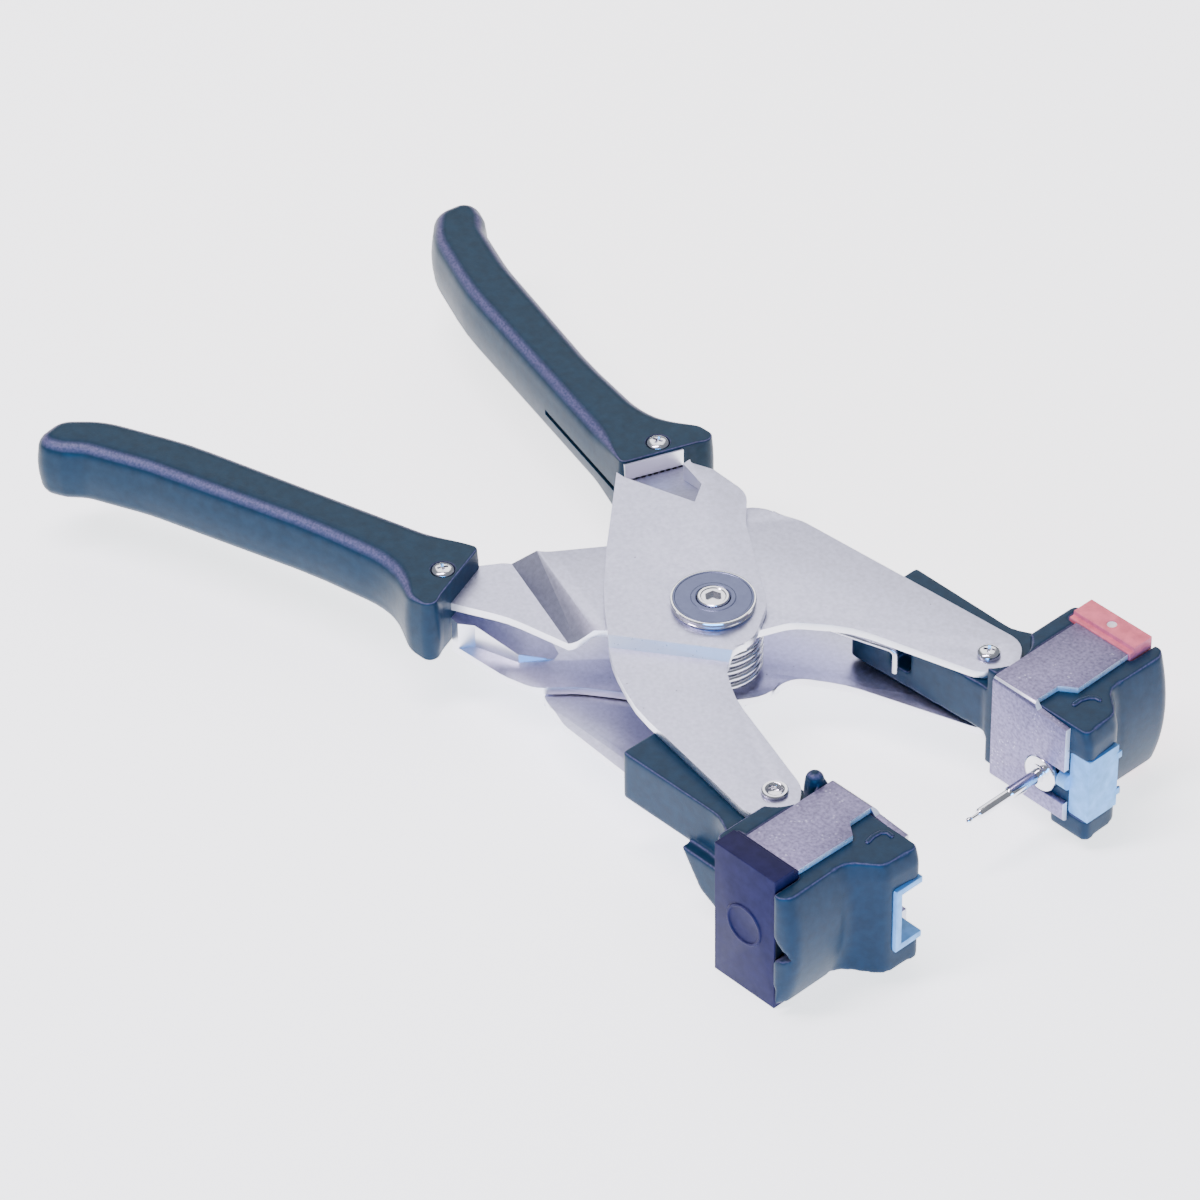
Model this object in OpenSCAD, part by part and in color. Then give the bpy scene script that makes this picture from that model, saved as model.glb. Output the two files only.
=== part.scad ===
// Parallel-head snap setter pliers, shown open.
// Frame: +X runs along the tool towards the heads, +Y towards the pin head, +Z up.
// Origin: bottom centre of the whole tool. All lengths are millimetres.
// Most shapes are drawn in the pivot frame: pivot axis at x = y = 0, top of the pivot disc at z = 0.

/* [Tool] */
// Height of a head from its cap's foot to the top of the pivot disc
head_drop = 36.0; // [36:0.1:38]
// Distance along the tool from the pivot to each head's hinge
hinge_x = 54.8; // [54:0.1:56]
// Half of the distance between the two head hinges when open
hinge_y = 34.3; // [34:0.1:35]
// Distance from the pivot axis to the middle of the tool's length
pivot_x = 34.52; // [30:0.01:42]

/* [Arm plates] */
// Thickness of each stamped steel arm plate
plate_t = 2.0; // [1.6:0.1:2.2]
// Depth of the joggle that brings a plate of the outer arm in line with the inner arm's
joggle = 2.4; // [2.3:0.1:2.6]
// Clear height between the two plates of an arm at the head
throat_h = 15.0; // [14.6:0.1:15.4]
// Clear height between the two tangs of an arm inside its grip
tang_gap = 2.1; // [1.5:0.1:3]

/* [Grips] */
// Height of a moulded grip
grip_h = 17.1; // [16:0.1:18]
// Diameter of the pan head on a grip or hinge screw
screw_head_d = 5.4; // [5:0.1:6]

/* [Pivot] */
// Diameter of the pivot's cover disc
disc_d = 20; // [18:0.5:21]
// Diameter of the bush that carries the arms and the spring
bush_d = 10; // [8:0.5:12]
// Diameter of the spring wire
wire_d = 1.6; // [1.2:0.1:1.8]
// Number of whole turns in the torsion spring
spring_turns = 5; // [4:1:5]

/* [Heads] */
// Distance from the tool's centre line to each working face when open
mouth_y = 25.2; // [25:0.1:26]
// Thickness of the sheet steel saddle over a head
saddle_t = 1.5; // [1:0.1:1.6]
// Diameter of the setting pin's thick stretch
pin_d = 3.2; // [2.8:0.1:3.3]
// Diameter of the setting pin's middle stretch
pin_mid_d = 2.4; // [2:0.1:2.6]
// Diameter of the setting pin's fine tip
pin_tip_d = 0.9; // [0.8:0.1:1.2]
// Width of a coloured end cap along the tool
cap_w = 18.8; // [18:0.1:19]
// Thickness of a coloured end cap
cap_t = 7.4; // [7:0.1:7.6]

/* [Hidden] */
$fn = 64;

// Levels of the plates' top faces, measured down from the top of the pivot disc
outer_top_z = -2.2;
inner_top_z = outer_top_z - joggle;
inner_low_z = inner_top_z - throat_h - plate_t;
outer_low_z = inner_low_z - joggle;
tang_top_z = -9.5;
tang_low_z = tang_top_z - plate_t - tang_gap;
grip_top_z = -3.9;
// Air left between faces that pass each other, and the radial clearance of a running fit
gap = 0.3;
running = 0.05;
shank_d = 4;
nut_d = 6.2;
nut_h = 2.4;

// Pivot stack
disc_seat_z = -1.2;
bolt_d = 5;
bolt_head_d = 7.6;
bolt_end_z = outer_low_z - plate_t - 5.6;

// Spring: the coil's centre line, its two levels and where its legs end
coil_r = 10.9;
coil_start = 107;
coil_sweep = 360 * spring_turns + 2 * (180 - coil_start);
coil_steps = 20 * spring_turns;
spring_top_z = inner_top_z - plate_t - 1.4;
spring_low_z = inner_low_z + 1.4;
leg_tip = [36, 23.2];
leg_drop = 6.5;
wire_sides = 8;

// Heads
tail_top_z = inner_top_z - plate_t - gap;
tail_low_z = tail_top_z - 13.4;
tip_room_r = 9.6;
block_top_z = -saddle_t;
saddle_foot_z = -29.6;
block_foot_z = saddle_foot_z + saddle_t;
skirt_foot_z = -33;
pin_x = 80;
pin_z = -19.4;
holder_d = 7;
holder_end_y = 48;
pin_shank_d = pin_d + 0.4;
shoulder_y = mouth_y - 0.5;
bush_gap = 0.2;
keyhole_r = 4.8;
gauge_x0 = 87.3;
gauge_y1 = 36.8;
gauge_z0 = -27.4;
gauge_z1 = -9.6;
slot_x0 = 84.8;
slot_y1 = 34.8;
hinge = [hinge_x, hinge_y];
grip_screw_at = [-54.4, 34.6];

function unit(v) = v / norm(v);
function turn(a, b) = a[0] * b[1] - a[1] * b[0];
function pt(p) = [p[0], p[1]];

// Corner p rounded to radius r between its neighbours a and b. A turn under 6 degrees stays a point.
function corner(a, p, b, r) =
    let (u = unit(a - p), w = unit(b - p), half = acos(u * w) / 2)
    let (c = p + unit(u + w) * r / sin(half))
    let (s = p + u * r / tan(half) - c, e = p + w * r / tan(half) - c)
    let (sweep = acos(max(-1, min(1, unit(s) * unit(e)))) * sign(turn(s, e)))
    let (n = ceil(abs(sweep) / 12), a0 = atan2(s[1], s[0]))
    abs(sweep) < 6
        ? [p]
        : [for (i = [0:n]) c + r * [cos(a0 + sweep * i / n), sin(a0 + sweep * i / n)]];

// Outline from [x, y, corner radius] points
function rounded(pts) =
    let (n = len(pts))
    [for (i = [0:n - 1])
        each pts[i][2] == 0
            ? [pt(pts[i])]
            : corner(pt(pts[(i + n - 1) % n]), pt(pts[i]), pt(pts[(i + 1) % n]), pts[i][2])];

// Outlines in the pivot frame, for the arm whose handle is at +Y and whose jaw is at -Y.
// A tang runs inside its grip, and every plate's outline ends in one.
tang_points = [
    [-66, 38.6, 20], [-90, 42.4, 60], [-129.5, 53, 2], [-127, 46.6, 2], [-88, 34.6, 60], [-57, 26.6, 1]
];
tang = rounded(concat(tang_points, [[-50, 24.8, 0], [-49, 38, 0]]));
// A winged plate has an ear beside its grip, which follows the given points
function winged_outline(ear) = rounded(concat([
    [-52.5, 19.5, 3], [-33, -2.4, 60], [-19.5, -16.5, 60], [-3, -29.6, 40],
    [12, -36.6, 40], [57.5, -44.2, 7], [63, -35, 5], [57.5, -28.6, 7], [25.5, -18, 30],
    [13.2, -10, 7], [16.2, -3, 9], [8.6, 9, 12], [-16.5, 26.6, 12], [-24, 34.6, 8]
], ear, tang_points));
short_ear = [[-36, 35.2, 1.5], [-41.5, 33.2, 1], [-48.6, 37.5, 1]];
long_ear = [[-32, 36.6, 12], [-49.5, 37.4, 3]];
waisted_outline = rounded(concat([
    [-51.4, 18.2, 4], [-43, 12.4, 8], [-33, -1.6, 12], [-24, -14, 20], [-24, -36.4, 9],
    [-15.5, -36.4, 10], [-9.5, -38.6, 10], [57.5, -43.2, 7], [63, -35, 5], [57.5, -28, 7],
    [26, -19.2, 24], [15.2, -10.5, 10], [11, 0, 16], [4.5, 10, 14], [-12, 22, 8],
    [-17.5, 27.4, 6], [-36, 31, 30], [-50, 37.6, 4]
], tang_points));
grip_front = [-54.4, 22.4];
grip_front_dir = 69.7;
pocket_run = 24;

// A pocket, and the hollow inside its walls. Each ends beside the ear at the given points.
function pocket(end) = concat([[-47.7, 16.4], [-26.9, 22.5], [-33.1, 30.8]], end, [[-140, 70], [-140, 16]]);
function hollow(end) = concat([[-48.6, 18], [-30.2, 23.4], [-34, 29.3]], end, [[-141, 71], [-141, 18]]);
short_pocket = pocket([[-40.6, 32.9], [-41.4, 42], [-50, 70]]);
short_hollow = hollow([[-42.6, 31.6], [-43.1, 41], [-51, 71]]);
long_pocket = pocket([[-44.5, 34], [-50, 42], [-50, 70]]);
long_hollow = hollow([[-45.6, 32.3], [-51, 41], [-51, 71]]);
joggle_at = [-7.7, -24.2];
joggle_dir = 34.7;
joggle_run = 1.6;
grip_outline = rounded([
    [-54.4, 22.4, 2], [-133, 43.2, 90], [-155, 52.4, 24], [-162.9, 60.8, 7],
    [-160.9, 73.2, 5], [-152, 69.2, 5], [-148, 65.7, 10], [-133, 59.5, 60], [-89, 46.8, 90], [-65, 42.2, 24],
    [-53, 47.6, 6], [-44.6, 46.4, 3], [-47.6, 40.8, 4]
]);

// Places a shape drawn in the pivot frame into the tool's frame
module place() translate([pivot_x, 0, head_drop]) children();

// Turns a shape of the +Y-handled arm over to make the -Y-handled one
module other_arm() mirror([0, 1, 0]) children();

// Sheet steel folded along parallel lines. The first fold passes through at, in direction dir.
// Each bend gives a fold's distance to the right of the first, and the height of the top there.
module folded_sheet(at, dir, bends) {
    reach = 300;
    last = bends[len(bends) - 1];
    top = concat([[reach, bends[0][1]]], [for (b = bends) [-b[0], b[1]]], [[-reach, last[1]]]);
    n = len(top);
    translate([at[0], at[1], 0])
        rotate([0, 0, dir])
            translate([-reach / 2, 0, 0])
                rotate([90, 0, 90])
                    linear_extrude(reach)
                        polygon(concat(top, [for (i = [n - 1:-1:0]) top[i] - [0, plate_t]]));
}

module bores() {
    translate([0, 0, -60]) cylinder(d = bush_d + 2 * running, h = 120);
    translate([hinge_x, -hinge_y, -60]) cylinder(d = shank_d, h = 120);
    translate([grip_screw_at[0], grip_screw_at[1], -60]) cylinder(d = 3, h = 120);
}

module prism() translate([0, 0, -60]) linear_extrude(120) children();

// Plate with a waist beside its grip, folded along parallel lines
module waisted_plate(at, dir, bends) difference() {
    intersection() {
        prism() polygon(waisted_outline);
        folded_sheet(at, dir, bends);
    }
    bores();
}

// Plate with a wing beside its grip. Its tang leaves the grip inside a pocket pressed into
// the flat, whose floor rises over pocket_run to the flat.
module winged_plate(ear, pocket, hollow, tang_z, jaw_bends) {
    mid_z = jaw_bends[0][1];
    sinks = tang_z < mid_z;
    outer_skin = sinks ? -plate_t : 0;
    inner_skin = sinks ? 0 : -plate_t;
    difference() {
        union() {
            intersection() {
                prism() polygon(winged_outline(ear));
                folded_sheet(joggle_at, joggle_dir, jaw_bends);
            }
            intersection() {
                prism() polygon(winged_outline(ear));
                prism() polygon(pocket);
                slope_block(tang_z + outer_skin, mid_z + outer_skin, mid_z - plate_t / 2);
            }
        }
        intersection() {
            prism() polygon(hollow);
            slope_block(tang_z + inner_skin, mid_z + inner_skin, sinks ? 20 : -50);
        }
        bores();
    }
}

// Block between a pocket's slope and the level end_z. The slope runs a little past the flat.
module slope_block(tang_z, mid_z, end_z) {
    reach = 200;
    past = 1.1;
    translate([grip_front[0], grip_front[1], 0])
        rotate([0, 0, grip_front_dir])
            translate([-reach / 2, 0, 0])
                rotate([90, 0, 90])
                    linear_extrude(reach)
                        polygon([
                            [reach, tang_z], [0, tang_z],
                            [-past * pocket_run, tang_z + past * (mid_z - tang_z)],
                            [-past * pocket_run, end_z], [reach, end_z]
                        ]);
}

// Arm A carries the outermost plates, so both of them are joggled at the jaw
module arm_a_top_plate() color("gainsboro") place()
    winged_plate(
        short_ear, short_pocket, short_hollow, tang_top_z,
        [[0, outer_top_z], [joggle_run, inner_top_z]]
    );

module arm_a_bottom_plate() color("gainsboro") place()
    waisted_plate([-53.2, 22.4], joggle_dir, [
        [0, tang_low_z], [6, outer_low_z],
        [64.2, outer_low_z], [64.2 + joggle_run, inner_low_z]
    ]);

module arm_b_top_plate() color("gainsboro") place() other_arm()
    waisted_plate([-50.4, 17], 19, [[0, tang_top_z], [4.9, inner_top_z]]);

module arm_b_bottom_plate() color("gainsboro") place() other_arm()
    winged_plate(long_ear, long_pocket, long_hollow, tang_low_z, [[0, inner_low_z]]);

// Moulded grip, hollow round its tangs, with a screw from above and a nut pocket below.
// The front stands over the plates' roots, so both of them are cut out of it as well.
module grip() {
    difference() {
        translate([0, 0, grip_top_z - grip_h]) linear_extrude(grip_h) polygon(grip_outline);
        translate([0, 0, tang_low_z - plate_t])
            linear_extrude(tang_top_z - tang_low_z + plate_t) polygon(tang);
        for (z = [tang_top_z, tang_low_z])
            translate([0, 0, z - plate_t]) linear_extrude(plate_t)
                intersection() {
                    union() {
                        polygon(waisted_outline);
                        polygon(winged_outline(short_ear));
                        polygon(winged_outline(long_ear));
                    }
                    polygon(grip_outline);
                }
        translate([grip_screw_at[0], grip_screw_at[1], grip_top_z - 1])
            cylinder(d = screw_head_d + 0.3, h = 2);
        translate([grip_screw_at[0], grip_screw_at[1], grip_top_z - grip_h - 1])
            cylinder(d = 3, h = grip_h + 2);
        translate([grip_screw_at[0], grip_screw_at[1], grip_top_z - grip_h - 1])
            cylinder(d = nut_d, h = nut_h + 1, $fn = 6);
    }
}

module grip_a() color("#23313f") place() grip();
module grip_b() color("#23313f") place() other_arm() grip();

// Domed head with a cross recess, its seat at z = 0
module pan_head(d, h) {
    difference() {
        intersection() {
            cylinder(d = d, h = h);
            translate([0, 0, h - d * 0.85]) sphere(r = d * 0.85);
        }
        for (a = [0, 90])
            rotate([0, 0, a]) translate([-d * 0.28, -0.35, h - 0.9]) cube([d * 0.56, 0.7, 1]);
    }
}

module grip_screw() {
    translate([grip_screw_at[0], grip_screw_at[1], grip_top_z - 1]) {
        pan_head(screw_head_d, 1.7);
        translate([0, 0, 1.2 - grip_h]) cylinder(d = 3, h = grip_h - 1.2);
    }
}

module grip_nut()
    translate([grip_screw_at[0], grip_screw_at[1], grip_top_z - grip_h]) difference() {
        cylinder(d = nut_d, h = nut_h, $fn = 6);
        translate([0, 0, -1]) cylinder(d = 3, h = nut_h + 2);
    }

module tang_spacer()
    translate([grip_screw_at[0], grip_screw_at[1], tang_low_z]) difference() {
        cylinder(d = 6, h = tang_gap);
        translate([0, 0, -1]) cylinder(d = 3, h = tang_gap + 2);
    }

module grip_a_screw() color("silver") place() grip_screw();
module grip_b_screw() color("silver") place() other_arm() grip_screw();
module grip_a_nut() color("silver") place() grip_nut();
module grip_b_nut() color("silver") place() other_arm() grip_nut();
module tang_spacer_a() color("silver") place() tang_spacer();
module tang_spacer_b() color("silver") place() other_arm() tang_spacer();

module ring(outer_d, inner_d, z0, z1)
    translate([0, 0, z0]) difference() {
        cylinder(d = outer_d, h = z1 - z0);
        translate([0, 0, -1]) cylinder(d = inner_d, h = z1 - z0 + 2);
    }

module pivot_bush() color("silver") place()
    ring(bush_d, bolt_d, outer_low_z - plate_t - 0.1, outer_top_z + 0.1);

module pivot_top_washer() color("whitesmoke") place()
    ring(disc_d - 1, bolt_d, outer_top_z + 0.1, disc_seat_z);

module pivot_top_disc() color("lightslategray") place()
    ring(disc_d, bolt_head_d + 0.1, disc_seat_z, 0);

// Low cap screw with a hexagon socket
module pivot_bolt() color("silver") place() difference() {
    union() {
        translate([0, 0, disc_seat_z]) cylinder(d = bolt_head_d, h = 0.3 - disc_seat_z);
        translate([0, 0, bolt_end_z]) cylinder(d = bolt_d, h = disc_seat_z - bolt_end_z);
    }
    translate([0, 0, -2]) cylinder(d = 4.6, h = 3, $fn = 6);
}

module pivot_bottom_disc() color("lightslategray") place()
    ring(disc_d, bolt_d, outer_low_z - plate_t - 1.6, outer_low_z - plate_t - 0.1);

module pivot_nut() color("silver") place()
    difference() {
        translate([0, 0, bolt_end_z + 0.5])
            cylinder(d = 9.2, h = outer_low_z - plate_t - 1.6 - bolt_end_z - 0.5, $fn = 6);
        translate([0, 0, bolt_end_z - 1]) cylinder(d = bolt_d, h = 12);
    }

module plate_shims() color("ivory") place() {
    ring(disc_d, bush_d + 0.4, inner_top_z, inner_top_z + 0.3);
    ring(disc_d, bush_d + 0.4, outer_low_z, outer_low_z + 0.3);
}

// Torsion spring: a leg in along the -Y jaw, the turns, a leg out along the +Y jaw
function coil_point(k) =
    let (a = -coil_start - k * coil_sweep)
    [coil_r * cos(a), coil_r * sin(a), spring_low_z + k * (spring_top_z - spring_low_z)];

spring_path = concat(
    [[leg_tip[0], -leg_tip[1], spring_low_z]],
    [for (i = [0:coil_steps]) coil_point(i / coil_steps)],
    [[leg_tip[0], leg_tip[1], spring_top_z]]
);

// Ring of wire round path point i. The path never runs steeply, so +Z serves as its up.
function wire_ring(path, i) =
    let (n = len(path) - 1, along = unit(path[min(i + 1, n)] - path[max(i - 1, 0)]))
    let (side = unit(cross([0, 0, 1], along)), up = cross(along, side))
    [for (j = [0:wire_sides - 1])
        path[i] + wire_d / 2 * (cos(360 * j / wire_sides) * side + sin(360 * j / wire_sides) * up)];

module wire(path) {
    n = len(path);
    m = wire_sides;
    polyhedron(
        points = [for (i = [0:n - 1]) each wire_ring(path, i)],
        faces = concat(
            [[for (j = [0:m - 1]) j]],
            [for (i = [0:n - 2], j = [0:m - 1])
                [i * m + j, (i + 1) * m + j, (i + 1) * m + (j + 1) % m, i * m + (j + 1) % m]],
            [[for (j = [m - 1:-1:0]) (n - 1) * m + j]]
        )
    );
}

// Each leg ends in a short stretch bent towards the other leg's level
module torsion_spring() color("silver") place() {
    wire(spring_path);
    translate([leg_tip[0], leg_tip[1], spring_top_z - leg_drop]) cylinder(d = wire_d, h = leg_drop);
    translate([leg_tip[0], -leg_tip[1], spring_low_z]) cylinder(d = wire_d, h = leg_drop);
}

module pin_head_hinge_screw() color("silver") place() translate([hinge_x, hinge_y, inner_top_z]) {
    pan_head(screw_head_d, 1.7);
    translate([0, 0, inner_low_z - inner_top_z - plate_t - 3.6])
        cylinder(d = shank_d, h = inner_top_z - inner_low_z + plate_t + 3.6);
}

module pin_head_hinge_nut() color("silver") place()
    translate([hinge_x, hinge_y, inner_low_z - plate_t - 3.2]) difference() {
        cylinder(d = 8, h = 3.2, $fn = 6);
        translate([0, 0, -1]) cylinder(d = shank_d, h = 6);
    }

// Tubular rivet, open at the top
module die_head_hinge_rivet() color("silver") place()
    translate([hinge_x, -hinge_y, 0]) difference() {
        union() {
            translate([0, 0, inner_top_z]) cylinder(d = screw_head_d + 0.8, h = 1);
            translate([0, 0, inner_low_z - plate_t])
                cylinder(d = shank_d, h = inner_top_z - inner_low_z + plate_t);
            translate([0, 0, inner_low_z - plate_t - 1]) cylinder(d = screw_head_d + 0.8, h = 1);
        }
        translate([0, 0, inner_top_z - 1.5]) cylinder(d = 2.8, h = 3);
    }

// Outline of a head's moulded body, drawn for the +Y head
body_outline = rounded([
    [59.5, 26.75, 2], [59.5, 57.8, 2], [61.9, 57.8, 0], [61.9, 52.9, 0], [81.3, 52.9, 0],
    [81.3, 61.8, 1], [85.8, 60.6, 3.5], [85.4, 42.6, 5], [92.4, 37.2, 3.5], [93.2, 26.75, 1.6]
]);
tail_outline = rounded([
    [19.4, 25, 1.5], [19, 47.4, 1.2], [50, 47, 10], [55.5, 50, 10], [62, 51, 0], [62, 27.4, 0]
]);

module nose_skirt(x0, z_foot) intersection() {
    translate([0, 0, z_foot]) linear_extrude(-z_foot - 10) polygon(body_outline);
    translate([x0, 20, -60]) cube([30, 50, 60]);
}

// Body of a head: block, skirt below the nose, tail between the plates, web under the tail
module head_block() {
    translate([0, 0, block_foot_z]) linear_extrude(block_top_z - block_foot_z) polygon(body_outline);
    intersection() {
        translate([0, 0, block_top_z]) linear_extrude(1.3) polygon(body_outline);
        translate([59, 24, -10]) cube([5.3, 34, 12]);
    }
    nose_skirt(82, skirt_foot_z);
    translate([0, 0, tail_low_z]) linear_extrude(tail_top_z - tail_low_z) polygon(tail_outline);
    translate([0, 50.4, 0]) rotate([90, 0, 0]) linear_extrude(3.1)
        polygon([[41, tail_low_z + 1], [60.5, tail_low_z + 1], [60.5, -34], [55.5, -33], [47, -28.5]]);
}

// What is cut from every head: room for the plates' tips, the hinge bore and the tool bore
module head_cuts() {
    translate([hinge_x, hinge_y, tail_top_z]) cylinder(r = tip_room_r, h = 40);
    translate([hinge_x, hinge_y, tail_low_z - 40]) cylinder(r = tip_room_r, h = 40);
    translate([hinge_x, hinge_y, -60]) cylinder(d = shank_d + 2 * running, h = 80);
    translate([pin_x, 26, pin_z]) rotate([-90, 0, 0]) cylinder(d = holder_d, h = holder_end_y - 26);
}

module pin_head_body() color("#1d2a38") place() difference() {
    head_block();
    head_cuts();
    translate([gauge_x0, 20, gauge_z0]) cube([20, gauge_y1 - 20, gauge_z1 - gauge_z0]);
    translate([pin_x, 27.6, pin_z + 0.8]) rotate([0, 90, 0]) cylinder(d = 4.6, h = 12);
}

// Body of the -Y head: slotted for the edge gauge, with a small horn beside the saddle
module die_head_body() color("#1d2a38") place() other_arm() difference() {
    union() {
        head_block();
        translate([61.8, 28.9, block_top_z]) cylinder(r = 2.1, h = 2);
        translate([61.8, 28.9, block_top_z + 2]) sphere(r = 2.1);
    }
    head_cuts();
    translate([slot_x0, 20, gauge_z0]) cube([20, slot_y1 - 20, gauge_z1 - gauge_z0]);
}

// Bent steel saddle over a head: top flange, wall with a keyhole for the tool, foot flange
module saddle() {
    translate([0, 0, -saddle_t]) linear_extrude(saddle_t)
        polygon([[64.6, mouth_y], [64.6, 52.8], [80.5, 52.8], [80.8, 36.1], [77.1, 33.4], [77, mouth_y]]);
    translate([0, mouth_y + saddle_t, 0]) rotate([90, 0, 0]) linear_extrude(saddle_t) difference() {
        polygon([[64.6, 0], [77, 0], [78.5, -1.7], [87.3, -2.4], [87.3, saddle_foot_z], [64.6, saddle_foot_z]]);
        translate([pin_x, pin_z]) circle(r = keyhole_r);
        translate([pin_x, pin_z - keyhole_r]) square([20, 2 * keyhole_r]);
    }
    translate([64.6, mouth_y, saddle_foot_z]) cube([17, 27.6, saddle_t]);
}

module pin_head_saddle() color("#8d86a0") place() saddle();
module die_head_saddle() color("#8d86a0") place() other_arm() saddle();

// End cap, with a step along its inner top edge
module cap_blank() {
    y0 = 52.9;
    translate([62.2, y0, -head_drop]) cube([cap_w, cap_t, head_drop + 0.2]);
    translate([62.2, y0 + 1.4, 0]) cube([cap_w, cap_t - 1.4, 1.3]);
}

module pin_head_cap() color("#e8718a") place() difference() {
    cap_blank();
    translate([71.6, 57, 0.9]) cylinder(d = 2.4, h = 1);
}

module die_head_cap() color("#2b2a55") place() other_arm() union() {
    cap_blank();
    translate([71.6, 60.2, -17]) rotate([-90, 0, 0]) rotate_extrude() translate([4.6, 0]) square([0.8, 0.5]);
}

// Edge gauge block of the +Y head, with its boss towards the pin and two small lugs
module pin_head_gauge() color("#8ec3ea") place() {
    translate([gauge_x0, 27.2, gauge_z0]) cube([5.9, gauge_y1 - 27.2, gauge_z1 - gauge_z0]);
    translate([84.8, 27.6, pin_z + 0.8]) rotate([0, 90, 0]) cylinder(d = 4.6, h = gauge_x0 - 84.7);
    for (z = [gauge_z0 + 3, gauge_z1 - 4])
        translate([gauge_x0 + 5.4, gauge_y1 - 0.5, z]) cube([0.6, 1.5, 1.8]);
}

// Channel-shaped edge gauge lining the -Y head's slot
module die_head_gauge() color("#8ec3ea") place() other_arm() {
    w = 1.8;
    inner_y = mouth_y + saddle_t;
    difference() {
        translate([slot_x0, inner_y, gauge_z0]) cube([8.6, slot_y1 - inner_y, gauge_z1 - gauge_z0]);
        translate([slot_x0 - 1, 25, gauge_z0 + w])
            cube([12, slot_y1 - w - 25, gauge_z1 - gauge_z0 - 2 * w]);
    }
}

// Turned part along the tool axis: [y start, y end, diameter] stretches from x = pin_x
module turned(stretches)
    for (s = stretches)
        translate([pin_x, s[0], pin_z]) rotate([-90, 0, 0]) cylinder(d = s[2], h = s[1] - s[0]);

module setting_pin() color("silver") place() {
    turned([
        [shoulder_y, holder_end_y - 2, pin_shank_d], [14.7, shoulder_y, pin_d],
        [5.1, 14.7, pin_mid_d], [2.2, 5.1, pin_tip_d], [holder_end_y - 2, holder_end_y, 6]
    ]);
    translate([pin_x, 2.1, pin_z]) sphere(d = 1.5);
}

module tube_y(y0, y1, outer_d, inner_d) translate([pin_x, y0, pin_z]) rotate([-90, 0, 0]) difference() {
    cylinder(d = outer_d, h = y1 - y0);
    translate([0, 0, -1]) cylinder(d = inner_d, h = y1 - y0 + 2);
}

module pin_flange() color("whitesmoke") place() tube_y(mouth_y - 0.2, 26.75, 9.2, pin_shank_d);
module pin_holder() color("silver") place() tube_y(26.75, holder_end_y - 2, holder_d, pin_shank_d);

// Steel bush that swallows the pin when the heads close
module die_bush() color("silver") place() other_arm() difference() {
    union() {
        turned([[mouth_y + 0.2, 26.75, 9.2], [26.75, holder_end_y, holder_d]]);
    }
    turned([[mouth_y - 1, holder_end_y + 1, pin_d + 2 * bush_gap]]);
}

arm_b_top_plate();
arm_b_bottom_plate();
grip_b();
grip_b_screw();
grip_b_nut();
tang_spacer_b();
arm_a_top_plate();
arm_a_bottom_plate();
grip_a();
grip_a_screw();
grip_a_nut();
tang_spacer_a();
pivot_bush();
pivot_bolt();
pivot_top_disc();
pivot_top_washer();
pivot_bottom_disc();
pivot_nut();
plate_shims();
torsion_spring();
pin_head_hinge_screw();
pin_head_hinge_nut();
die_head_hinge_rivet();
pin_head_body();
pin_head_saddle();
pin_head_cap();
pin_head_gauge();
setting_pin();
pin_flange();
pin_holder();
die_head_body();
die_head_saddle();
die_head_cap();
die_head_gauge();
die_bush();
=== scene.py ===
"""Snap setter pliers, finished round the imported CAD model. Lengths in helpers are millimetres."""
from itertools import product
from math import acos, atan2, ceil, cos, pi, radians, sin, sqrt, tan, tau

import bmesh
import bpy
from mathutils import Matrix, Vector


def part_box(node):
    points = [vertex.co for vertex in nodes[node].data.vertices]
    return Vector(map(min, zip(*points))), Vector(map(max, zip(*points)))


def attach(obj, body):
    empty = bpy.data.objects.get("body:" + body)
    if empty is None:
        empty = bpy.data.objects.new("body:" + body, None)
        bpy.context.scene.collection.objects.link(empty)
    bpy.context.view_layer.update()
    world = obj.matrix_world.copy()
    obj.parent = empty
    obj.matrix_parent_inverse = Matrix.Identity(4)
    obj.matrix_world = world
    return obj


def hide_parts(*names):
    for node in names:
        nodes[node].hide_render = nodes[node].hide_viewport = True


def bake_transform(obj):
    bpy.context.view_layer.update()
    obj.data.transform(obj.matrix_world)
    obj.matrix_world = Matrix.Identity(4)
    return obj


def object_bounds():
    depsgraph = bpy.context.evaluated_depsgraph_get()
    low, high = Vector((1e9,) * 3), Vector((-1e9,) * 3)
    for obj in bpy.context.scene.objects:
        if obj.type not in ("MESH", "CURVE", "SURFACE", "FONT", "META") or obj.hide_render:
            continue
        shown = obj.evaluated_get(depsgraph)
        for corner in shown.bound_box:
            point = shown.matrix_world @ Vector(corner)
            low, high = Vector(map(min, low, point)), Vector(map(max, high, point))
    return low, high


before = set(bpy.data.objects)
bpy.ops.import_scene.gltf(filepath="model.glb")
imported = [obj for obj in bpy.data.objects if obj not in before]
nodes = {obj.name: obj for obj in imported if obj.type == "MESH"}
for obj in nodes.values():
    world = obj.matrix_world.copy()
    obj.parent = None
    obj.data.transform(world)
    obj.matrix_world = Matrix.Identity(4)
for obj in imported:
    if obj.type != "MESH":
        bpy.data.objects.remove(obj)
cad_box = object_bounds()
scene = bpy.context.scene

MM = 0.001
DISC_LOW, DISC_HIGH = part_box("pivot_top_disc")
PIVOT = Vector(((DISC_LOW.x + DISC_HIGH.x) / 2, (DISC_LOW.y + DISC_HIGH.y) / 2, DISC_HIGH.z))
FLOOR_Z = cad_box[0].z
UP = (0, 0, 1)


def at(u, v, z):
    """A point given in the pivot frame: the pivot's axis is u = v = 0, its disc's top is z = 0."""
    return PIVOT + Vector((u, v, z)) * MM


# ---------------------------------------------------------------- materials

BLACK, WHITE = (0, 0, 0), (1, 1, 1)
# Colour of the painted highlight along the plastics' rounded edges
PAINTED_HIGHLIGHT_RGB = (0.17, 0.15, 0.27)


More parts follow.
